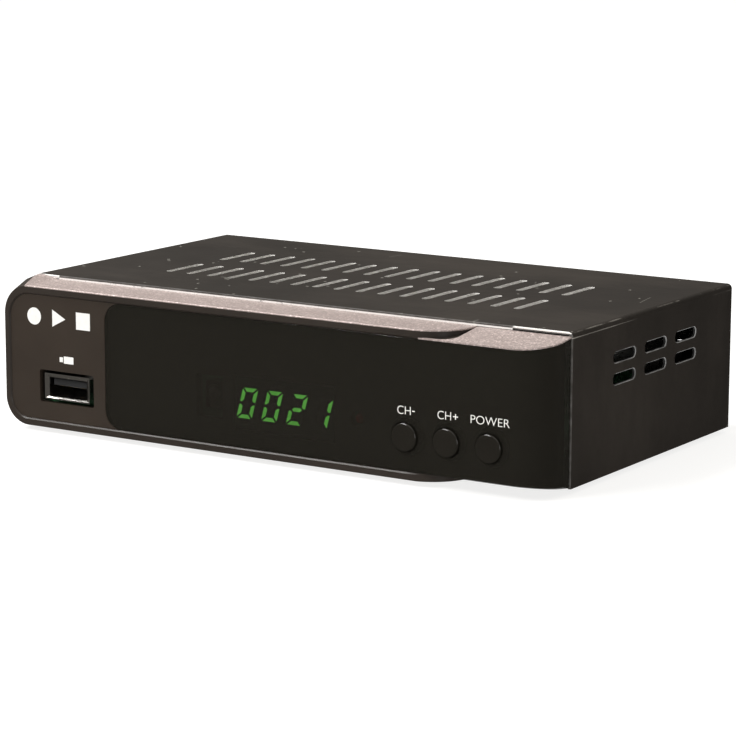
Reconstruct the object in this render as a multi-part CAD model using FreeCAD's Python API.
import FreeCAD, Part
import math
import os

# Compact digital television receiver and recorder in a two-part steel case.
# Millimetres, +Z up, +X to the right seen from the front, the front faces -Y.
# The origin lies on the standing surface, under the middle of the whole object.

V = FreeCAD.Vector

# ---- driving dimensions ----
CASE_W = 165.5
CASE_D = 87.7
CASE_H = 38.8
BEZEL_D = 13.4  # from the steel case to the front of the raised rim
FOOT_H = 1.5
REAR_OUT = 9.5  # how far the aerial barrels stand out of the rear panel
RIM_STEP = 0.4  # the rim stands this far in front of the panel and the window
KEY_OUT = 0.7  # the keys stand this far in front of the window
KEY_TRAVEL = 0.5
SHEET = 0.8
BOARD = 1.6
PLATE = 1.5  # thickness of the front window and of the socket panel
WALL = 2.0
FIT = 0.1  # gap between neighbouring fixed pieces
SEAM = 0.05  # gap round glued and pressed pieces

# ---- planes worked out from them ----
TOTAL_D = KEY_OUT - RIM_STEP + BEZEL_D + CASE_D + REAR_OUT
Y_KEY = -TOTAL_D / 2
Y_PLATE = Y_KEY + KEY_OUT
Y_RIM = Y_PLATE - RIM_STEP
Y_CASE = Y_RIM + BEZEL_D
Y_REAR = Y_CASE + CASE_D
Y_END = Y_REAR + REAR_OUT
X_CASE = CASE_W / 2
Z_LOW = FOOT_H
Z_TOP = FOOT_H + CASE_H
Y_WINDOW_BACK = Y_PLATE + PLATE
Y_WALL_BACK = Y_WINDOW_BACK + SEAM + 1.85  # rear face of the bezel's front wall

# ---- bezel outline ----
BEZEL_INSET = 0.5  # the case's cut edge shows on the right
X_BEZEL = X_CASE - BEZEL_INSET
X_LEFT = -X_CASE
TRIM = 0.35
TRIM_ROUND = 0.15
TRIM_FRONT_LEFT = X_LEFT + 7.5  # left end of the upper trim at the rim
TRIM_BACK_LEFT = X_LEFT + 1.0  # the same at the case
LOWER_TRIM_START = 56.2
LOWER_TRIM_TAIL = (43.6, 0.5)  # where its thin tail starts, and how far back that reaches
LOWER_TRIM_R = 4.0  # inner radius where the tail widens
SHOULDER_SLOPE = ((-72.6, 38.8), (-80.5, 40.4))  # its thick end falls to the plate along this line
TRIM_LIP = 0.15  # the lower trim stands this far over the window's top edge
CORNER_R = 9.65  # front right corner seen from above
SWOOSH_X = 56.0  # right end of the raised rim
SWOOSH_R = 11.6
RIM_LEFT = 1.95
RIM_GAP = 0.15  # between the rim's inner edge and the panel
RIM_FLARE = 0.45  # how far that edge flares at its front
SHELL_TOP = (39.05, 38.95)  # raised shell under its trim: height at the rim, height at the case
CREST_MIDDLE = 7.0  # the shell's left shoulder is highest this far behind the rim
SHELL_CREST = (39.4, 40.2, 40.25)  # shoulder at the rim, behind it, and at the case
SHELL_LOW = (1.5, 1.5)
BASE_TOP = (37.1, 38.85)  # body behind the window: height at the plate, height at the case
BASE_LOW = (3.6, 1.7)
SHELL_R_TOP = 8.2
SHELL_R_MIDDLE = 4.0
SHELL_R_LOW = 7.5
CASE_R = 1.5
CASE_BEND = 1.3  # outer radius of the cover's two long bends
EDGE_ROUND = 0.25

# ---- front features ----
WINDOW_LEFT = -49.4
WINDOW_R = 5.0
KEY_X = (43.2, 55.2, 67.2)
KEY_NAMES = ("ch_down", "ch_up", "power")
KEY_Z = 12.2
KEY_R = 3.6
USB_X = -62.3
USB_Z = 12.6
USB_HOLE = (9.05, 4.35)  # half width and half height of the panel's opening
USB_HOLE_LIFT = 0.15
DISPLAY_X = 6.25
DISPLAY_Z = 14.9
DIGIT_H = 8.0
DIGIT_W = 4.6
DIGIT_PITCH = 7.62
DIGIT_SLANT = 0.27
STROKE = 0.95
STROKE_GAP = 0.42
IR_X = -16.8
IR_Z = 15.5
LED_X = 28.3
LED_Z = 14.7

# ---- vents ----
TOP_SLOTS = 17
TOP_PITCH = 6.8
TOP_SLOT = (2.1, 15.8)
TOP_ROWS = (29.6, 54.6)  # from the case's front edge
SIDE_SLOT = (11.8, 2.7)
SIDE_COLUMNS = (27.0, 43.9, 60.8)
SIDE_ROWS = (30.65, 25.1)
SIDE_SLOT_BEVEL = 0.2

# ---- folded front edge of the cover ----
HEM_X = (-74.6, 66.0)
HEM_D = 6.0

# ---- boards ----
FLOOR_TOP = Z_LOW + SHEET
STANDOFF = 5.7
PCB_LOW = FLOOR_TOP + STANDOFF
PCB_TOP = PCB_LOW + BOARD
FRONT_BOARD_Y = -46.4
MAIN_SCREWS = ((-72, -32), (72, -32), (-72, 10), (38, -6), (-30, 16), (-5, -36))
FRONT_SCREWS = ((-38.0, 30.5), (34.0, 30.5), (73.0, 30.5), (-38.0, 10.0))

# ---- rear sockets ----
JACK_X = -66.0
JACK_Z = PCB_TOP + 6.0
AUDIO_X = -47.0
AUDIO_Z = PCB_TOP + 7.0
HDMI_X = -27.0
HDMI_Z = PCB_TOP + 2.9
SCART_X = 12.0
SCART_Z = PCB_TOP + 9.6
AERIAL_X = (52.0, 69.0)
AERIAL_Z = PCB_TOP + 8.0
COVER_SCREW_X = (-70.0, 0.0, 70.0)
COVER_SCREW_Z = 35.0


# ---- helpers ----
def box(x0, x1, y0, y1, z0, z1):
    return Part.makeBox(x1 - x0, y1 - y0, z1 - z0, V(x0, y0, z0))


def block(x, y, z, sx, sy, sz):
    """A box centred on x and y that stands on z."""
    return box(x - sx / 2, x + sx / 2, y - sy / 2, y + sy / 2, z, z + sz)


def rod_y(x, z, y0, y1, r):
    return Part.makeCylinder(r, y1 - y0, V(x, y0, z), V(0, 1, 0))


def rod_z(x, y, z0, z1, r):
    return Part.makeCylinder(r, z1 - z0, V(x, y, z0), V(0, 0, 1))


def joined(shapes):
    whole = shapes[0].fuse(list(shapes[1:]))
    return whole.removeSplitter()


def group(shapes):
    return Part.makeCompound(shapes)


def polygon(points):
    return Part.Face(Part.makePolygon(list(points) + [points[0]]))


def prism_x(points, x0, x1):
    """A (y, z) outline drawn out along X."""
    face = polygon([V(x0, y, z) for y, z in points])
    return face.extrude(V(x1 - x0, 0, 0))


def prism_y(points, y0, y1):
    """An (x, z) outline drawn out along Y."""
    face = polygon([V(x, y0, z) for x, z in points])
    return face.extrude(V(0, y1 - y0, 0))


def prism_z(points, z0, z1):
    """An (x, y) outline drawn out along Z."""
    face = polygon([V(x, y, z0) for x, y in points])
    return face.extrude(V(0, 0, z1 - z0))


def loft(first, last):
    """A solid with straight lines drawn from one outline to the other."""
    return Part.makeLoft([first, last], True, True)


def rounded_along(shape, axis, radius, test=lambda middle: True):
    """Rounds the straight edges that run along an axis and whose middle passes the test."""
    edges = []
    for edge in shape.Edges:
        if len(edge.Vertexes) != 2:
            continue
        start, end = (vertex.Point for vertex in edge.Vertexes)
        run = end.sub(start)
        if run.Length > 1e-6 and abs(abs(run.dot(axis)) - run.Length) < 1e-6:
            if test(start.add(end).multiply(0.5)):
                edges.append(edge)
    return shape.makeFillet(radius, edges)


def rounded_edges(shape, radius, test):
    """Rounds the edges whose bounding box passes the test."""
    return shape.makeFillet(radius, [edge for edge in shape.Edges if test(edge.BoundBox)])


def rounded_at(shape, axis, level, radius):
    """Rounds every edge that lies in the plane at a level along an axis."""
    def lies_in(edge):
        low = V(edge.BoundBox.XMin, edge.BoundBox.YMin, edge.BoundBox.ZMin).dot(axis)
        high = V(edge.BoundBox.XMax, edge.BoundBox.YMax, edge.BoundBox.ZMax).dot(axis)
        return abs(low - level) < 1e-4 and abs(high - level) < 1e-4

    return shape.makeFillet(radius, [edge for edge in shape.Edges if lies_in(edge)])


X_AXIS = V(1, 0, 0)
Y_AXIS = V(0, 1, 0)
Z_AXIS = V(0, 0, 1)


def slot_z(x, y, width, length, z0, z1):
    """An obround cutter through a horizontal sheet, long along Y."""
    r = width / 2
    reach = length / 2 - r
    ends = [rod_z(x, y + side * reach, z0, z1, r) for side in (-1, 1)]
    return joined([box(x - r, x + r, y - reach, y + reach, z0, z1)] + ends)


def obround_wire(x, y, z, length, height):
    """Seen from the side: two level lines joined by half circles."""
    r = height / 2
    reach = length / 2 - r
    edges = []
    for side in (-1, 1):
        start = V(x, y - side * reach, z + side * r)
        end = V(x, y + side * reach, z + side * r)
        tip = V(x, y + side * (reach + r), z)
        below = V(x, y + side * reach, z - side * r)
        edges.append(Part.LineSegment(start, end).toShape())
        edges.append(Part.Arc(end, tip, below).toShape())
    return Part.Wire(edges)


def side_slot(side, y, z):
    """A cutter through one side of the cover, with a bevelled mouth on the outside."""
    length, height = SIDE_SLOT
    through = Part.Face(obround_wire(side * (X_CASE - 2), y, z, length, height))
    through = through.extrude(V(side * 3, 0, 0))
    grow = 2 * SIDE_SLOT_BEVEL
    mouth = loft(
        obround_wire(side * (X_CASE - SIDE_SLOT_BEVEL), y, z, length, height),
        obround_wire(side * (X_CASE + SIDE_SLOT_BEVEL), y, z, length + 2 * grow, height + 2 * grow),
    )
    return through.fuse(mouth)


def pan_screw(tip, direction, shank_r, length, head_r, head_h):
    """A screw whose head seats at a point and whose shank runs on along a direction."""
    shank = Part.makeCylinder(shank_r, length, tip, direction)
    back = V(direction).multiply(-1)
    head = Part.makeCylinder(head_r, head_h, tip, back)
    top = tip.add(V(back).multiply(head_h))
    rim = [e for e in head.Edges if abs(e.BoundBox.Center.sub(top).Length) < 1e-3]
    head = head.makeFillet(head_h * 0.6, rim)
    side = V(0, 1, 0) if abs(direction.z) > 0.5 else V(0, 0, 1)
    cross = V(direction).cross(side)
    for along, across in ((side, cross), (cross, side)):
        arm = head_r * 1.1
        half = head_r * 0.14
        start = top.sub(V(along).multiply(arm / 2)).sub(V(across).multiply(half))
        corner = start.sub(V(back).multiply(head_h * 0.45))
        points = [
            corner,
            corner.add(V(along).multiply(arm)),
            corner.add(V(along).multiply(arm)).add(V(across).multiply(2 * half)),
            corner.add(V(across).multiply(2 * half)),
        ]
        head = head.cut(polygon(points).extrude(V(back).multiply(head_h)))
    return head.fuse(shank).removeSplitter()


# ---- steel case ----
def cover_tab(x):
    """Ear bent down behind the rear panel, tapped for a cover screw."""
    y1 = Y_REAR - SHEET - SEAM
    tab = box(x - 6, x + 6, y1 - SHEET, y1, 31.0, Z_TOP - SHEET / 2)
    tab = rounded_along(tab, Y_AXIS, 2.0, lambda middle: middle.z < 32)
    return tab.cut(rod_y(x, COVER_SCREW_Z, y1 - 2, y1 + 1, 1.5))


def top_cover():
    outer = box(-X_CASE, X_CASE, Y_CASE, Y_REAR, Z_LOW, Z_TOP)
    outer = rounded_along(outer, Y_AXIS, CASE_BEND, lambda middle: middle.z > Z_TOP - 1)
    inner = box(-X_CASE + SHEET, X_CASE - SHEET, Y_CASE - 1, Y_REAR + 1, Z_LOW - 1, Z_TOP - SHEET)
    inner = rounded_along(inner, Y_AXIS, CASE_BEND - SHEET, lambda middle: middle.z > Z_TOP - 2)
    hem = box(*HEM_X, Y_CASE, Y_CASE + HEM_D, SHELL_TOP[1] + TRIM, Z_TOP - SHEET + SEAM)
    cover = joined([outer.cut(inner), hem] + [cover_tab(x) for x in COVER_SCREW_X])
    front_edge = [
        edge for edge in cover.Edges
        if edge.BoundBox.YMax < Y_CASE + 0.01 and edge.BoundBox.ZMin > Z_TOP - 0.01
    ]
    cover = cover.makeFillet(EDGE_ROUND, front_edge)
    cutters = []
    for row in TOP_ROWS:
        for i in range(TOP_SLOTS):
            x = (i - (TOP_SLOTS - 1) / 2) * TOP_PITCH
            cutters.append(slot_z(x, Y_CASE + row, *TOP_SLOT, Z_TOP - 2, Z_TOP + 1))
    for side in (-1, 1):
        for row in SIDE_ROWS:
            for column in SIDE_COLUMNS:
                cutters.append(side_slot(side, Y_CASE + column, row))
    return cover.cut(cutters)


X_TRAY = X_CASE - SHEET - FIT
Y_TRAY = Y_CASE + 0.2
HOOK_X = (-62.0, -20.0, 20.0, 62.0)
TRAY_SIDE_TOP = 11.0
TRAY_FRONT_TOP = 6.8
TRAY_SLOTS = 13
TRAY_SLOT_PITCH = 8.0
TRAY_SLOT = (2.8, 14.0)
TRAY_SLOT_ROWS = (-10.0, 12.0)


def rear_openings():
    y0 = Y_REAR - 3
    y1 = Y_REAR + 3
    jack = box(JACK_X - 4.7, JACK_X + 4.7, y0, y1, PCB_TOP, PCB_TOP + 11.2)
    hdmi = box(HDMI_X - 7.8, HDMI_X + 7.8, y0, y1, HDMI_Z - 3.1, HDMI_Z + 3.1)
    scart = scart_outline(0.2, y0, y1)
    openings = [jack, hdmi, scart, rod_y(AUDIO_X, AUDIO_Z, y0, y1, 4.6)]
    openings += [rod_y(x, AERIAL_Z, y0, y1, 6.4) for x in AERIAL_X]
    openings += [rod_y(x, COVER_SCREW_Z, y0, y1, 1.75) for x in COVER_SCREW_X]
    return openings


def bottom_tray():
    floor = box(-X_TRAY, X_TRAY, Y_TRAY, Y_REAR, Z_LOW, FLOOR_TOP)
    rear = box(-X_TRAY, X_TRAY, Y_REAR - SHEET, Y_REAR, Z_LOW, Z_TOP - SHEET - FIT)
    rear = rounded_along(rear, Y_AXIS, 1.4, lambda middle: middle.z > Z_TOP - 2)
    front = box(-X_TRAY, X_TRAY, Y_TRAY, Y_TRAY + SHEET, Z_LOW, TRAY_FRONT_TOP)
    left = box(-X_TRAY, -X_TRAY + SHEET, Y_TRAY, Y_REAR, Z_LOW, TRAY_SIDE_TOP)
    right = box(X_TRAY - SHEET, X_TRAY, Y_TRAY, Y_REAR, Z_LOW, TRAY_SIDE_TOP)
    tray = joined([floor, rear, front, left, right])
    tray = rounded_along(tray, X_AXIS, 0.7, lambda m: m.z < Z_LOW + 0.1 and abs(m.y) > 40)
    cutters = rear_openings()
    for x in HOOK_X:
        cutters.append(box(x - 4.3, x + 4.3, Y_TRAY - 1, Y_TRAY + 2, 3.5, 5.9))
    for y in TRAY_SLOT_ROWS:
        for i in range(TRAY_SLOTS):
            x = (i - (TRAY_SLOTS - 1) / 2) * TRAY_SLOT_PITCH
            cutters.append(slot_z(x, y, *TRAY_SLOT, Z_LOW - 1, FLOOR_TOP + 1))
    return tray.cut(cutters)


FOOT_PLACES = [(x, y) for x in (-70, 70) for y in (Y_CASE + 12, Y_REAR - 12)]


def rubber_feet():
    feet = []
    for x, y in FOOT_PLACES:
        foot = rod_z(x, y, 0, FOOT_H, 5.5)
        feet.append(rounded_at(foot, Z_AXIS, 0.0, 0.4))
    return group(feet)


def cover_screws():
    return group([
        pan_screw(V(x, Y_REAR, COVER_SCREW_Z), V(0, -1, 0), 1.45, 6.0, 2.8, 1.8)
        for x in COVER_SCREW_X
    ])


# ---- bezel ----
def plan_prism(left, right, front, radius, z0=-5.0, z1=50.0, back=Y_CASE):
    """Seen from above: a rectangle with a rounded front right corner."""
    centre = V(right - radius, front + radius, z0)
    half = math.sqrt(0.5) * radius
    arc = Part.Arc(
        V(centre.x, front, z0), V(centre.x + half, centre.y - half, z0), V(right, centre.y, z0)
    )
    edges = [
        Part.LineSegment(V(left, front, z0), V(centre.x, front, z0)).toShape(),
        arc.toShape(),
        Part.LineSegment(V(right, centre.y, z0), V(right, back, z0)).toShape(),
        Part.LineSegment(V(right, back, z0), V(left, back, z0)).toShape(),
        Part.LineSegment(V(left, back, z0), V(left, front, z0)).toShape(),
    ]
    return Part.Face(Part.Wire(edges)).extrude(V(0, 0, z1 - z0))


def left_round_wire(y, left, right, low, high, r_low, r_high):
    """Seen from the front: a rectangle with its two left corners rounded."""
    def arc(cx, cz, radius, a0, a1):
        points = [
            V(cx + radius * math.cos(math.radians(a)), y, cz + radius * math.sin(math.radians(a)))
            for a in (a0, (a0 + a1) / 2, a1)
        ]
        return Part.Arc(*points).toShape()

    def line(x0, z0, x1, z1):
        return Part.LineSegment(V(x0, y, z0), V(x1, y, z1)).toShape()

    return Part.Wire([
        line(right, low, left + r_low, low),
        arc(left + r_low, low + r_low, r_low, 270, 180),
        line(left, low + r_low, left, high - r_high),
        arc(left + r_high, high - r_high, r_high, 180, 90),
        line(left + r_high, high, right, high),
        line(right, high, right, low),
    ])


def base_slab(grow=0.0, lift=0.0):
    """Wedge between the sloping top and bottom of the body behind the window."""
    front = Y_PLATE - 1
    slope_top = (BASE_TOP[1] - BASE_TOP[0]) / (Y_CASE - Y_PLATE)
    slope_low = (BASE_LOW[1] - BASE_LOW[0]) / (Y_CASE - Y_PLATE)
    points = [
        (front, BASE_LOW[0] - slope_low - grow),
        (Y_CASE + 1, BASE_LOW[1] + slope_low - grow),
        (Y_CASE + 1, BASE_TOP[1] + slope_top + grow + lift),
        (front, BASE_TOP[0] - slope_top + grow + lift),
    ]
    return prism_x(points, -100, 100)


def top_plane_slab(heights, y_front, thickness):
    """Sloping layer that lies on a top surface given by its two heights."""
    slope = (heights[1] - heights[0]) / (Y_CASE - y_front)
    points = [
        (y_front - 1, heights[0] - slope),
        (Y_CASE + 1, heights[1] + slope),
        (Y_CASE + 1, heights[1] + slope + thickness),
        (y_front - 1, heights[0] - slope + thickness),
    ]
    return prism_x(points, -100, 100)


def trim_outline(grow):
    """Seen from above: the raised shell's trim, from its slanting left end."""
    right = SWOOSH_X + 10
    back = Y_CASE - SEAM + grow
    return prism_z([
        (TRIM_FRONT_LEFT - grow, Y_RIM - 1), (right, Y_RIM - 1),
        (right, back), (TRIM_BACK_LEFT - grow, back),
    ], 30, 45)


def shell_body():
    """The raised rim and the shoulder behind it, which narrows to the case's square corners."""
    share = CREST_MIDDLE / BEZEL_D
    middle_low = SHELL_LOW[0] + share * (SHELL_LOW[1] - SHELL_LOW[0])
    middle_r_low = SHELL_R_LOW + share * (CASE_R - SHELL_R_LOW)
    right = SWOOSH_X + 5
    sections = [
        left_round_wire(y, X_LEFT, right, low, high, r_low, r_high)
        for y, low, high, r_low, r_high in (
            (Y_RIM, SHELL_LOW[0], SHELL_CREST[0], SHELL_R_LOW, SHELL_R_TOP),
            (Y_RIM + CREST_MIDDLE, middle_low, SHELL_CREST[1], middle_r_low, SHELL_R_MIDDLE),
            (Y_CASE, SHELL_LOW[1], SHELL_CREST[2], CASE_R, CASE_R),
        )
    ]
    return Part.makeLoft(sections, True, True)


def raised_shell():
    """The shell's body, with a pocket along its top for the trim."""
    shell = shell_body()
    below_trim = [
        edge for edge in shell.Edges
        if edge.BoundBox.YMax < Y_RIM + 0.01 and edge.BoundBox.ZMin < SHELL_CREST[0] - 0.01
        and edge.BoundBox.XMin < SWOOSH_X
    ]
    shell = shell.makeFillet(EDGE_ROUND, below_trim)
    shell = shell.common(plan_prism(-90, SWOOSH_X, Y_RIM, SWOOSH_R))
    pocket = top_plane_slab(SHELL_TOP, Y_RIM, 5.0).common(trim_outline(SEAM))
    return shell.cut(pocket)


def aperture():
    """The opening in the rim, flared towards the front, that the panel and the window fill."""
    def outline(y, grow):
        return left_round_wire(
            y, X_LEFT + RIM_LEFT - grow, 90, BASE_LOW[0] - grow, BASE_TOP[0] + grow,
            SHELL_R_LOW - RIM_LEFT + grow, SHELL_R_TOP - RIM_LEFT + grow,
        )

    return loft(outline(Y_RIM - 0.01, RIM_FLARE), outline(Y_PLATE, RIM_GAP))


def face_ring(left, thickness):
    """The outer layer of the front: flat, then wrapped round the right corner to the case."""
    outer = plan_prism(left, X_BEZEL, Y_PLATE, CORNER_R)
    inner = plan_prism(
        left - 5, X_BEZEL - thickness, Y_PLATE + thickness, CORNER_R - thickness, -6, 51, Y_CASE + 1
    )
    return outer.cut(inner)


def face_layer(left, r_low, r_high, grow, thickness):
    """A layer of the front from a left edge, whose two corners are rounded, to the case."""
    layer = face_ring(left - grow, thickness).common(base_slab(grow))
    for low_half, radius in ((True, r_low), (False, r_high)):
        layer = rounded_edges(layer, radius, lambda box: (
            box.XMax < left - grow + 0.01 and box.ZLength < 1 and box.YLength > 1
            and (box.ZMax < 20) == low_half
        ))
    return layer


def window_layer(grow, thickness):
    return face_layer(WINDOW_LEFT, WINDOW_R, WINDOW_R, grow, thickness)


def panel_layer(grow, thickness):
    left = X_LEFT + RIM_LEFT
    return face_layer(
        left, SHELL_R_LOW - RIM_LEFT, SHELL_R_TOP - RIM_LEFT, grow, thickness
    )


def key_holes(radius, y0, y1):
    return [rod_y(x, KEY_Z, y0, y1, radius) for x in KEY_X]


def usb_opening(grow, y0, y1):
    half_w = USB_HOLE[0] + grow
    half_h = USB_HOLE[1] + grow
    z = USB_Z + USB_HOLE_LIFT
    opening = box(USB_X - half_w, USB_X + half_w, y0, y1, z - half_h, z + half_h)
    return rounded_along(opening, Y_AXIS, 0.6)


HOLLOW_FRONT = (5.8, 35.3)  # floor and ceiling of the bezel's hollow behind the front wall
HOLLOW_BACK = (3.9, 37.1)  # the same where it meets the case


def bezel_hollow():
    front = Y_WALL_BACK
    points = [
        (front, HOLLOW_FRONT[0]), (Y_CASE + 1, HOLLOW_BACK[0]),
        (Y_CASE + 1, HOLLOW_BACK[1]), (front, HOLLOW_FRONT[1]),
    ]
    wedge = prism_x(points, X_LEFT + WALL + BEZEL_INSET, X_BEZEL - WALL)
    inner = plan_prism(-90, X_BEZEL - WALL, front, CORNER_R - 2.6, -5, 50, Y_CASE + 2)
    return wedge.common(inner)


HOOK_TOP = BASE_TOP[1] - 0.35


def bezel_hooks():
    """Tongues under the cover, and barbed hooks that snap through the tray's front flange."""
    hooks = []
    for x in HOOK_X:
        hooks.append(box(x - 5, x + 5, Y_CASE - 1, Y_CASE + 4, HOLLOW_BACK[1] + 0.2, HOOK_TOP))
        hooks.append(box(x - 4, x + 4, Y_CASE - 3, Y_CASE + 3.6, 3.7, 5.1))
        hooks.append(box(x - 4, x + 4, Y_CASE - 3, Y_CASE - 1.5, 3.0, 5.1))
        barb = [(Y_TRAY + SHEET + FIT, 5.0), (Y_TRAY + SHEET + FIT, 5.8), (Y_CASE + 3.6, 5.0)]
        hooks.append(prism_x(barb, x - 4, x + 4))
    return hooks


def front_bezel():
    base = base_slab().common(plan_prism(-70, X_BEZEL, Y_PLATE, CORNER_R))
    shell = raised_shell().cut(aperture())
    body = joined([base, shell]).cut(bezel_hollow())
    body = body.cut(panel_layer(SEAM, PLATE + SEAM))
    body = joined([body] + bezel_hooks())
    bosses = []
    for x, z in FRONT_SCREWS:
        bosses.append(rod_y(x, z, Y_WALL_BACK - 0.5, FRONT_BOARD_Y, 2.8))
    body = joined([body] + bosses)
    y0 = Y_PLATE - 2
    y1 = Y_WALL_BACK + 0.5
    cutters = key_holes(5.0, y0, y1)
    cutters.append(usb_opening(0.3, y0, y1))
    cutters.append(box(DISPLAY_X - 15.5, DISPLAY_X + 15.5, y0, y1, DISPLAY_Z - 7.3, DISPLAY_Z + 7.3))
    cutters.append(box(IR_X - 4.2, IR_X + 4.2, y0, y1, IR_Z - 5.6, IR_Z + 5.6))
    cutters.append(rod_y(LED_X, LED_Z, y0, y1, 2.0))
    for x, z in FRONT_SCREWS:
        cutters.append(rod_y(x, z, Y_WALL_BACK - 0.2, FRONT_BOARD_Y + 1, 1.15))
    return body.cut(cutters)


def upper_trim():
    """A thin plate on the shell, thicker at its left end, where it forms the shoulder."""
    outline = trim_outline(0.0).common(plan_prism(-90, SWOOSH_X, Y_RIM, SWOOSH_R))
    plate = top_plane_slab(SHELL_TOP, Y_RIM, TRIM).common(outline)
    front_top = [
        edge for edge in plate.Edges
        if edge.BoundBox.YMax < Y_RIM + 0.01 and edge.BoundBox.XLength > 50
        and edge.BoundBox.ZMin > SHELL_TOP[0] + TRIM / 2
    ]
    plate = plate.makeFillet(TRIM_ROUND, front_top)
    above = top_plane_slab(SHELL_TOP, Y_RIM, 5.0)
    foot, head = SHOULDER_SLOPE
    wedge = prism_y([(-90, 30), (foot[0], 30), foot, head, (-90, head[1])], Y_RIM - 1, Y_CASE + 1)
    shoulder = shell_body().common(above).common(wedge)
    return joined([plate.common(shell_body()), shoulder.common(outline)])


def lower_trim():
    """A thin plate on the body's right end, with a narrow tail along the front edge."""
    slab = top_plane_slab(BASE_TOP, Y_PLATE, TRIM)
    tail_x, tail_depth = LOWER_TRIM_TAIL
    plan = plan_prism(
        tail_x, X_BEZEL + TRIM_LIP, Y_PLATE - TRIM_LIP, CORNER_R + TRIM_LIP, -5, 50, Y_CASE - SEAM
    )
    raised = plan_prism(-90, SWOOSH_X + SEAM, Y_RIM - SEAM, SWOOSH_R + SEAM, -6, 51, Y_CASE + 1)
    bare = box(tail_x - 5, LOWER_TRIM_START, Y_PLATE + tail_depth, Y_CASE + 1, 30, 45)
    bare = rounded_along(
        bare, Z_AXIS, LOWER_TRIM_R, lambda middle: middle.x > LOWER_TRIM_START - 1 and middle.y < Y_CASE
    )
    return slab.common(plan).cut([raised, bare])


def front_window():
    window = window_layer(0.0, PLATE)
    window = window.cut(key_holes(KEY_R + 0.2, Y_PLATE - 1, Y_WINDOW_BACK + 1))
    face_edges = [
        edge for edge in window.Edges
        if edge.BoundBox.YMax < Y_PLATE + 0.01
        and not (edge.BoundBox.XMin > 70 and edge.BoundBox.ZLength > 20)
    ]
    return window.makeFillet(0.2, face_edges)


def usb_panel():
    panel = panel_layer(0.0, PLATE).cut(window_layer(SEAM, PLATE + 1))
    panel = panel.common(box(-90, 0, -90, 0, -5, 50))
    return panel.cut(usb_opening(0.0, Y_PLATE - 1, Y_WINDOW_BACK + 1))


# ---- keys and switches ----
STEM_END = -51.6
SWITCH_FRONT = FRONT_BOARD_Y - 3.4
SWITCH_FLOOR = 0.6
DOME_DISC = 0.15
DOME_CROWN = 0.35
PLUNGER_END = FRONT_BOARD_Y - SWITCH_FLOOR - DOME_DISC - DOME_CROWN - KEY_TRAVEL - 0.2


def key(x):
    """A cap through the window, a flange behind it and a stem that meets the switch."""
    cap = rod_y(x, KEY_Z, Y_KEY, Y_WINDOW_BACK + FIT, KEY_R)
    cap = rounded_at(cap, Y_AXIS, Y_KEY, 0.45)
    flange = rod_y(x, KEY_Z, Y_WINDOW_BACK + FIT, Y_WINDOW_BACK + FIT + 0.8, 4.6)
    stem = rod_y(x, KEY_Z, Y_WINDOW_BACK, STEM_END, 1.6)
    return joined([cap, flange, stem])


def plunger(x):
    stem = rod_y(x, KEY_Z, STEM_END + SEAM, PLUNGER_END, 1.75)
    return rounded_at(stem, Y_AXIS, STEM_END + SEAM, 0.2)


def switch_body(x):
    body = box(x - 3, x + 3, SWITCH_FRONT, FRONT_BOARD_Y, KEY_Z - 3, KEY_Z + 3)
    body = rounded_along(body, Y_AXIS, 0.4)
    return body.cut(rod_y(x, KEY_Z, SWITCH_FRONT - 1, FRONT_BOARD_Y - SWITCH_FLOOR, 1.85))


def switch_dome(x):
    """Snap disc on the switch's floor, under the plunger and clear of its travel."""
    y_seat = FRONT_BOARD_Y - SWITCH_FLOOR
    disc = rod_y(x, KEY_Z, y_seat - DOME_DISC, y_seat, 1.75)
    crown = Part.makeCone(
        1.3, 0.5, DOME_CROWN, V(x, y_seat - DOME_DISC, KEY_Z), V(0, -1, 0)
    )
    return joined([disc, crown])


# ---- display, receiver and lamp ----
LIT = {"0": "abcdef", "1": "bc", "2": "abdeg"}
SHOWN = "0021"
SEGMENTS = "abcdefg"


def segment_points(name):
    """Outline of one stroke in an upright digit, u to the right and v up."""
    w, h, t, g = DIGIT_W, DIGIT_H, STROKE, STROKE_GAP
    m = h / 2
    outlines = {
        "a": [(g, h), (w - g, h), (w - t - g, h - t), (t + g, h - t)],
        "b": [(w, h - g), (w, m + g), (w - t / 2, m + g), (w - t, m + t / 2 + g), (w - t, h - t - g)],
        "c": [(w, m - g), (w, g), (w - t, t + g), (w - t, m - t / 2 - g), (w - t / 2, m - g)],
        "d": [(g, 0), (t + g, t), (w - t - g, t), (w - g, 0)],
        "e": [(0, m - g), (t / 2, m - g), (t, m - t / 2 - g), (t, t + g), (0, g)],
        "f": [(0, h - g), (t, h - t - g), (t, m + t / 2 + g), (t / 2, m + g), (0, m + g)],
        "g": [
            (t / 2 + g, m), (t + g, m + t / 2), (w - t - g, m + t / 2),
            (w - t / 2 - g, m), (w - t - g, m - t / 2), (t + g, m - t / 2),
        ],
    }
    return outlines[name]


DISPLAY_FRONT = Y_WINDOW_BACK + 0.45


def segment(place, name):
    """One stroke of the digit at a place, slanted, on the display's face."""
    centre = DISPLAY_X + (place - 1.5) * DIGIT_PITCH
    points = []
    for u, v in segment_points(name):
        x = centre + u - DIGIT_W / 2 + DIGIT_SLANT * (v - DIGIT_H / 2)
        points.append((x, DISPLAY_Z + v - DIGIT_H / 2))
    return prism_y(points, DISPLAY_FRONT - 0.2, DISPLAY_FRONT)


def segments(lit):
    chosen = []
    for place, character in enumerate(SHOWN):
        for name in SEGMENTS:
            if (name in LIT[character]) == lit:
                chosen.append(segment(place, name))
    return group(chosen)


def display_module():
    module = box(
        DISPLAY_X - 15.1, DISPLAY_X + 15.1, DISPLAY_FRONT, FRONT_BOARD_Y,
        DISPLAY_Z - 7.0, DISPLAY_Z + 7.0,
    )
    return rounded_along(module, Y_AXIS, 0.4)


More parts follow.
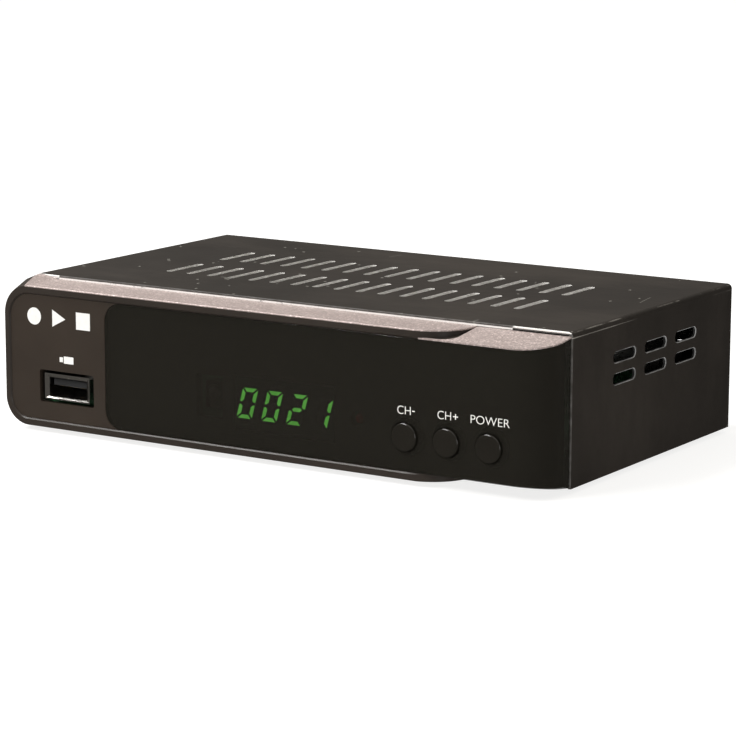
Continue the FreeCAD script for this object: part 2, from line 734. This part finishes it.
def ir_receiver():
    y1 = FRONT_BOARD_Y
    case = box(IR_X - 3, IR_X + 3, y1 - 4.2, y1, IR_Z - 3.5, IR_Z + 3.5)
    case = rounded_along(case, Y_AXIS, 0.5)
    lens = Part.makeSphere(2.4, V(IR_X, y1 - 4.2, IR_Z + 0.6))
    return joined([case, lens.cut(box(IR_X - 3, IR_X + 3, y1 - 4.2, y1, IR_Z - 3, IR_Z + 4))])


def standby_led():
    y0 = Y_WINDOW_BACK + 0.6
    flange = rod_y(LED_X, LED_Z, FRONT_BOARD_Y - 1.2, FRONT_BOARD_Y, 1.8)
    body = rod_y(LED_X, LED_Z, y0 + 1.5, FRONT_BOARD_Y, 1.5)
    return joined([flange, body, Part.makeSphere(1.5, V(LED_X, y0 + 1.5, LED_Z))])


def front_board():
    y1 = FRONT_BOARD_Y + BOARD
    board = box(-43, 77, FRONT_BOARD_Y, y1, 6.8, 34.4)
    board = rounded_along(board, Y_AXIS, 1.0)
    return board.cut([rod_y(x, z, FRONT_BOARD_Y - 1, y1 + 1, 1.5) for x, z in FRONT_SCREWS])


def front_board_screws():
    y = FRONT_BOARD_Y + BOARD
    return group([
        pan_screw(V(x, y, z), V(0, -1, 0), 1.1, 5.6, 2.3, 1.4) for x, z in FRONT_SCREWS
    ])


# ---- lead between the boards ----
LEAD_X = 6.0
LEAD_W = 12.0
LEAD_T = 0.9
LEAD_Z = 22.0
LEAD_Y = -31.5
LEAD_BEND = 4.0
HEADER_H = 4.0


def ribbon_lead():
    """Flat lead: straight back from the front board, round one bend, down to the main board."""
    y0 = FRONT_BOARD_Y + BOARD + 3.6
    y_bend = LEAD_Y - LEAD_BEND
    x0, x1 = LEAD_X - LEAD_W / 2, LEAD_X + LEAD_W / 2
    z0, z1 = LEAD_Z - LEAD_T / 2, LEAD_Z + LEAD_T / 2
    flat = box(x0, x1, y0, y_bend, z0, z1)
    end = polygon([V(x0, y_bend, z0), V(x1, y_bend, z0), V(x1, y_bend, z1), V(x0, y_bend, z1)])
    turn = end.revolve(V(LEAD_X, y_bend, LEAD_Z - LEAD_BEND), V(-1, 0, 0), 90)
    drop = box(
        x0, x1, LEAD_Y - LEAD_T / 2, LEAD_Y + LEAD_T / 2, PCB_TOP + HEADER_H, LEAD_Z - LEAD_BEND
    )
    return joined([flat, turn, drop])


def lead_headers():
    y0 = FRONT_BOARD_Y + BOARD
    front = box(LEAD_X - 7, LEAD_X + 7, y0, y0 + 3.6, LEAD_Z - 2.5, LEAD_Z + 2.5)
    main = box(LEAD_X - 7, LEAD_X + 7, LEAD_Y - 2.5, LEAD_Y + 2.5, PCB_TOP, PCB_TOP + HEADER_H)
    return group([rounded_along(front, Y_AXIS, 0.4), rounded_along(main, Z_AXIS, 0.4)])


# ---- main board ----
def main_board():
    outline = [
        (-78, -39.5), (-76, -39.5), (-76, Y_WALL_BACK + 0.2), (-48, Y_WALL_BACK + 0.2),
        (-48, -39.5), (78, -39.5), (78, 44.0), (-78, 44.0),
    ]
    board = prism_z(outline, PCB_LOW, PCB_TOP)
    return board.cut([rod_z(x, y, PCB_LOW - 1, PCB_TOP + 1, 1.7) for x, y in MAIN_SCREWS])


def hexagon(x, y, across):
    r = across / math.sqrt(3)
    return [
        (x + r * math.cos(math.radians(60 * i)), y + r * math.sin(math.radians(60 * i)))
        for i in range(6)
    ]


def board_standoffs():
    pillars = []
    for x, y in MAIN_SCREWS:
        pillar = prism_z(hexagon(x, y, 5.5), FLOOR_TOP, PCB_LOW)
        pillars.append(pillar.cut(rod_z(x, y, FLOOR_TOP + 0.6, PCB_LOW + 1, 1.5)))
    return group(pillars)


def board_screws():
    return group([
        pan_screw(V(x, y, PCB_TOP), V(0, 0, -1), 1.45, 6.0, 2.8, 1.8) for x, y in MAIN_SCREWS
    ])


SOC = (-8.0, -12.0)


def soc_chip():
    return block(*SOC, PCB_TOP, 20, 20, 1.4)


def thermal_pad():
    return block(*SOC, PCB_TOP + 1.4, 18, 18, 0.5)


def heat_sink():
    z = PCB_TOP + 1.9
    side = 28.0
    fins = [block(*SOC, z, side, side, 2.0)]
    for i in range(9):
        fins.append(block(SOC[0] + (i - 4) * 3.3, SOC[1], z + 2.0, 1.0, side, 7.5))
    return joined(fins)


def memory_chips():
    return group([block(17, y, PCB_TOP, 8.0, 12.5, 1.1) for y in (-20, -4)])


def flash_chip():
    return block(-34, -8, PCB_TOP, 5.3, 5.3, 1.9)


def crystals():
    cans = []
    for x, y in ((-30, -24), (30, 14)):
        can = block(x, y, PCB_TOP, 11.0, 4.6, 3.5)
        cans.append(rounded_along(can, Z_AXIS, 2.2))
    return group(cans)


def capacitors():
    cans = []
    for x, y, r, h in ((-58, 18, 4.0, 11.5), (-48, 18, 4.0, 11.5), (-60, 2, 5.0, 12.0),
                       (-46, 2, 3.2, 9.0), (-60, -18, 3.2, 9.0), (34, 26, 3.2, 9.0)):
        can = rod_z(x, y, PCB_TOP, PCB_TOP + h, r)
        can = rounded_at(can, Z_AXIS, PCB_TOP + h, 0.6)
        score = [block(x, y, PCB_TOP + h - 0.25, r * 1.3, 0.4, 1),
                 block(x, y, PCB_TOP + h - 0.25, 0.4, r * 1.3, 1)]
        cans.append(can.cut(score))
    return group(cans)


def inductors():
    coils = []
    for x, y in ((-70, 24), (-70, -6), (-46, -18)):
        coil = block(x, y, PCB_TOP, 7.0, 7.0, 4.2)
        coils.append(rounded_along(coil, Z_AXIS, 1.6))
    return group(coils)


def regulators():
    packs = []
    for x, y in ((-34, 4), (-20, 14), (44, -16)):
        body = block(x, y, PCB_TOP, 6.5, 3.5, 1.7)
        tab = block(x, y + 2.6, PCB_TOP, 3.0, 1.7, 0.4)
        packs.append(joined([body, tab]))
    return group(packs)


def chip_parts():
    """Rows of small surface-mounted resistors and capacitors round the processor."""
    parts = []
    for i in range(10):
        parts.append(block(-22 + i * 3.1, -27.6, PCB_TOP, 1.6, 0.8, 0.6))
        parts.append(block(-22 + i * 3.1, 7.5, PCB_TOP, 0.8, 1.6, 0.6))
        parts.append(block(26.5, -26 + i * 2.6, PCB_TOP, 1.6, 0.8, 0.6))
    return group(parts)


# ---- front USB socket ----
USB_FRONT = Y_PLATE + 0.15
USB_BACK = -41.0
USB_MOUTH = (12.6, 5.2)
USB_STEEL = 0.35
USB_FLARE = (1.7, 1.1)  # the mouth's inside widens and heightens by this much
USB_FLARE_D = 0.5
USB_LIFT = 0.2  # the flared mouth's middle lies this far above the sleeve's


def rect_wire(x, z, y, width, height):
    points = [
        V(x - width / 2, y, z - height / 2), V(x + width / 2, y, z - height / 2),
        V(x + width / 2, y, z + height / 2), V(x - width / 2, y, z + height / 2),
    ]
    return Part.makePolygon(points + [points[0]])


def usb_shell():
    """Folded steel sleeve with a flared mouth."""
    w, h = USB_MOUTH
    t = USB_STEEL
    flare_y = USB_FRONT + USB_FLARE_D
    mouth_w = w + USB_FLARE[0]
    mouth_h = h + USB_FLARE[1]
    tube = rect_wire(USB_X, USB_Z, flare_y, w + 2 * t, h + 2 * t)
    tube = Part.Face(tube).extrude(V(0, USB_BACK - flare_y, 0))
    tube = tube.cut(box(
        USB_X - w / 2, USB_X + w / 2, flare_y - 1, USB_BACK - t, USB_Z - h / 2, USB_Z + h / 2
    ))
    outer = loft(
        rect_wire(USB_X, USB_Z + USB_LIFT, USB_FRONT, mouth_w + 2 * t, mouth_h + 2 * t),
        rect_wire(USB_X, USB_Z, flare_y, w + 2 * t, h + 2 * t),
    )
    inner = loft(
        rect_wire(USB_X, USB_Z + USB_LIFT, USB_FRONT, mouth_w, mouth_h),
        rect_wire(USB_X, USB_Z, flare_y, w, h),
    )
    return joined([outer.cut(inner), tube])


def usb_tongue():
    z = USB_Z + 0.3
    tongue = box(USB_X - 5.6, USB_X + 5.6, USB_FRONT + 1.6, USB_BACK - 2.2, z, z + 1.9)
    tongue = rounded_along(tongue, X_AXIS, 0.3, lambda m: m.y < USB_FRONT + 2)
    back = box(USB_X - 6.2, USB_X + 6.2, USB_BACK - 2.4, USB_BACK - 0.4, USB_Z - 2.5, USB_Z + 2.5)
    return joined([tongue, back])


def usb_contacts():
    z = USB_Z + 0.3
    return group([
        box(USB_X + dx - 0.5, USB_X + dx + 0.5, USB_FRONT + 2.6, USB_BACK - 2.4, z - 0.25, z)
        for dx in (-3.5, -1.0, 1.0, 3.5)
    ])


# ---- rear sockets ----
Y_INNER = Y_REAR - SHEET


def jack_body():
    y1 = Y_REAR + 0.4
    body = box(JACK_X - 4.5, JACK_X + 4.5, y1 - 14, y1, PCB_TOP, PCB_TOP + 11)
    body = rounded_along(body, Y_AXIS, 0.8, lambda m: m.z > PCB_TOP + 5)
    return body.cut(rod_y(JACK_X, JACK_Z, y1 - 10, y1 + 1, 3.2))


def jack_pin():
    y1 = Y_REAR + 0.4
    pin = rod_y(JACK_X, JACK_Z, y1 - 10, y1 - 0.8, 1.05)
    return rounded_at(pin, Y_AXIS, y1 - 0.8, 0.5)


AUDIO_END = Y_REAR + 8.5


def audio_sleeve():
    barrel = rod_y(AUDIO_X, AUDIO_Z, Y_INNER - 1.2, AUDIO_END, 4.15)
    barrel = rounded_at(barrel, Y_AXIS, AUDIO_END, 0.3)
    collar = rod_y(AUDIO_X, AUDIO_Z, Y_INNER - 1.2, Y_REAR + 0.2, 4.5)
    return joined([barrel, collar]).cut(rod_y(AUDIO_X, AUDIO_Z, Y_INNER - 2, AUDIO_END + 1, 3.4))


def audio_body():
    """Moulded block on the board, with the insulating core that fills the sleeve."""
    block_back = Y_INNER - 1.2
    body = box(AUDIO_X - 5, AUDIO_X + 5, block_back - 9, block_back, PCB_TOP, PCB_TOP + 13)
    body = rounded_along(body, Y_AXIS, 0.6, lambda m: m.z > PCB_TOP + 5)
    core = rod_y(AUDIO_X, AUDIO_Z, block_back - 0.1, AUDIO_END - 0.4, 3.4 - SEAM)
    body = joined([body, core])
    return body.cut(rod_y(AUDIO_X, AUDIO_Z, AUDIO_END - 8, AUDIO_END + 1, 1.65))


def hdmi_points(grow):
    w = 7.5 + grow
    h = 2.8 + grow
    return [
        (HDMI_X - w, HDMI_Z + h), (HDMI_X - w, HDMI_Z - h + 1.9), (HDMI_X - w + 1.9, HDMI_Z - h),
        (HDMI_X + w - 1.9, HDMI_Z - h), (HDMI_X + w, HDMI_Z - h + 1.9), (HDMI_X + w, HDMI_Z + h),
    ]


def hdmi_shell():
    y1 = Y_REAR + 0.6
    outer = prism_y(hdmi_points(0.0), y1 - 11.5, y1)
    return outer.cut(prism_y(hdmi_points(-0.35), y1 - 11.1, y1 + 1))


def hdmi_tongue():
    y1 = Y_REAR + 0.6
    tongue = box(HDMI_X - 5.8, HDMI_X + 5.8, y1 - 10.2, y1 - 1.0, HDMI_Z - 0.2, HDMI_Z + 1.2)
    back = box(HDMI_X - 5.0, HDMI_X + 5.0, y1 - 11.1, y1 - 9.8, HDMI_Z - 2.4, HDMI_Z + 2.4)
    return joined([tongue, back])


SCART_W = 47.0
SCART_H = 13.0


def scart_outline(grow, y0, y1):
    """The long socket face, with one short end cut off at a slant."""
    w = SCART_W / 2 + grow
    h = SCART_H / 2 + grow
    x, z = SCART_X, SCART_Z
    points = [(x - w, z - h), (x + w, z - h), (x + w, z + h - 4), (x + w - 4, z + h), (x - w, z + h)]
    return prism_y(points, y0, y1)


def scart_socket():
    face = Y_REAR + 2.0
    body = scart_outline(0.0, face - 14, face)
    foot = box(SCART_X - 22, SCART_X + 22, face - 14, Y_INNER - FIT, PCB_TOP, SCART_Z)
    body = joined([body, foot])
    groove = scart_outline(-1.4, face - 8, face + 1).cut(scart_outline(-3.0, face - 9, face + 2))
    cutters = [groove]
    for x, z in scart_pin_places():
        cutters.append(box(x - 0.5, x + 0.5, face - 7, face + 1, z - 1.6, z + 1.6))
    return body.cut(cutters)


def scart_pin_places():
    places = []
    for i in range(10):
        x = SCART_X - 18.0 + i * 3.81
        places.append((x, SCART_Z - 1.9))
        places.append((x + 1.5, SCART_Z + 1.5 + 0.4))
    return places


def scart_contacts():
    face = Y_REAR + 2.0
    return group([
        box(x - 0.3, x + 0.3, face - 7, face - 1.5, z - 1.2, z + 1.2)
        for x, z in scart_pin_places()
    ])


# ---- tuner ----
TUNER_BACK = 41.0


def tuner_can():
    can = box(44, 77, 2, TUNER_BACK, PCB_TOP, PCB_TOP + 15)
    can = rounded_along(can, Z_AXIS, 0.8)
    cutters = []
    for i in range(4):
        cutters.append(rod_z(50 + i * 7, 14, PCB_TOP + 14.6, PCB_TOP + 16, 1.2))
    cutters.append(box(48, 73, 24, 24.6, PCB_TOP + 14.6, PCB_TOP + 16))
    return can.cut(cutters)


def aerial_barrels():
    """Socket sleeve for the aerial and plug sleeve for the loop-through, each with a flange."""
    x_in, x_out = AERIAL_X
    socket = rod_y(x_in, AERIAL_Z, TUNER_BACK, Y_END, 5.9)
    socket = rounded_at(socket, Y_AXIS, Y_END, 0.4)
    socket = socket.cut(rod_y(x_in, AERIAL_Z, TUNER_BACK + 4, Y_END + 1, 4.8))
    plug = rod_y(x_out, AERIAL_Z, TUNER_BACK, Y_END, 4.75)
    plug = rounded_at(plug, Y_AXIS, Y_END, 0.3)
    collar = rod_y(x_out, AERIAL_Z, TUNER_BACK, Y_INNER + 1.0, 5.9)
    plug = joined([plug, collar])
    plug = plug.cut(rod_y(x_out, AERIAL_Z, TUNER_BACK + 4, Y_END + 1, 4.05))
    return group([socket, plug])


def aerial_insulators():
    rings = []
    for x, r in zip(AERIAL_X, (4.8, 4.05)):
        ring = rod_y(x, AERIAL_Z, TUNER_BACK + 4, TUNER_BACK + 6, r - SEAM)
        rings.append(ring.cut(rod_y(x, AERIAL_Z, TUNER_BACK + 3, TUNER_BACK + 7, 1.5)))
    return group(rings)


def aerial_contacts():
    x_in, x_out = AERIAL_X
    tube = rod_y(x_in, AERIAL_Z, TUNER_BACK + 4, Y_END - 1.0, 1.45)
    tube = tube.cut(rod_y(x_in, AERIAL_Z, TUNER_BACK + 7, Y_END, 1.15))
    tube = tube.cut(box(x_in - 0.15, x_in + 0.15, Y_END - 6, Y_END, AERIAL_Z - 2, AERIAL_Z + 2))
    pin = rod_y(x_out, AERIAL_Z, TUNER_BACK + 4, Y_END - 0.6, 1.15)
    pin = rounded_at(pin, Y_AXIS, Y_END - 0.6, 0.7)
    collar = rod_y(x_out, AERIAL_Z, TUNER_BACK + 4, TUNER_BACK + 6, 1.45)
    return group([tube, joined([pin, collar])])


# ---- everything, by node ----
def nodes():
    made = {
        "top_cover": top_cover(),
        "bottom_tray": bottom_tray(),
        "rubber_feet": rubber_feet(),
        "cover_screws": cover_screws(),
        "front_bezel": front_bezel(),
        "upper_trim": upper_trim(),
        "lower_trim": lower_trim(),
        "front_window": front_window(),
        "usb_panel": usb_panel(),
        "switch_bodies": group([switch_body(x) for x in KEY_X]),
        "switch_domes": group([switch_dome(x) for x in KEY_X]),
        "display_module": display_module(),
        "lit_segments": segments(True),
        "dark_segments": segments(False),
        "ir_receiver": ir_receiver(),
        "standby_led": standby_led(),
        "front_board": front_board(),
        "front_board_screws": front_board_screws(),
        "ribbon_lead": ribbon_lead(),
        "lead_headers": lead_headers(),
        "main_board": main_board(),
        "board_standoffs": board_standoffs(),
        "board_screws": board_screws(),
        "soc_chip": soc_chip(),
        "thermal_pad": thermal_pad(),
        "heat_sink": heat_sink(),
        "memory_chips": memory_chips(),
        "flash_chip": flash_chip(),
        "crystals": crystals(),
        "capacitors": capacitors(),
        "inductors": inductors(),
        "regulators": regulators(),
        "chip_parts": chip_parts(),
        "usb_shell": usb_shell(),
        "usb_tongue": usb_tongue(),
        "usb_contacts": usb_contacts(),
        "jack_body": jack_body(),
        "jack_pin": jack_pin(),
        "audio_sleeve": audio_sleeve(),
        "audio_body": audio_body(),
        "hdmi_shell": hdmi_shell(),
        "hdmi_tongue": hdmi_tongue(),
        "scart_socket": scart_socket(),
        "scart_contacts": scart_contacts(),
        "tuner_can": tuner_can(),
        "aerial_barrels": aerial_barrels(),
        "aerial_insulators": aerial_insulators(),
        "aerial_contacts": aerial_contacts(),
    }
    for name, x in zip(KEY_NAMES, KEY_X):
        made[name + "_key"] = key(x)
        made[name + "_plunger"] = plunger(x)
    return made


os.makedirs("parts", exist_ok=True)
for node, shape in nodes().items():
    assert shape.isValid(), node
    shape.exportStep("parts/" + node + ".step")
    span = shape.BoundBox
    print(node, len(shape.Solids), round(shape.Volume, 1), [round(v, 2) for v in (
        span.XMin, span.XMax, span.YMin, span.YMax, span.ZMin, span.ZMax)])
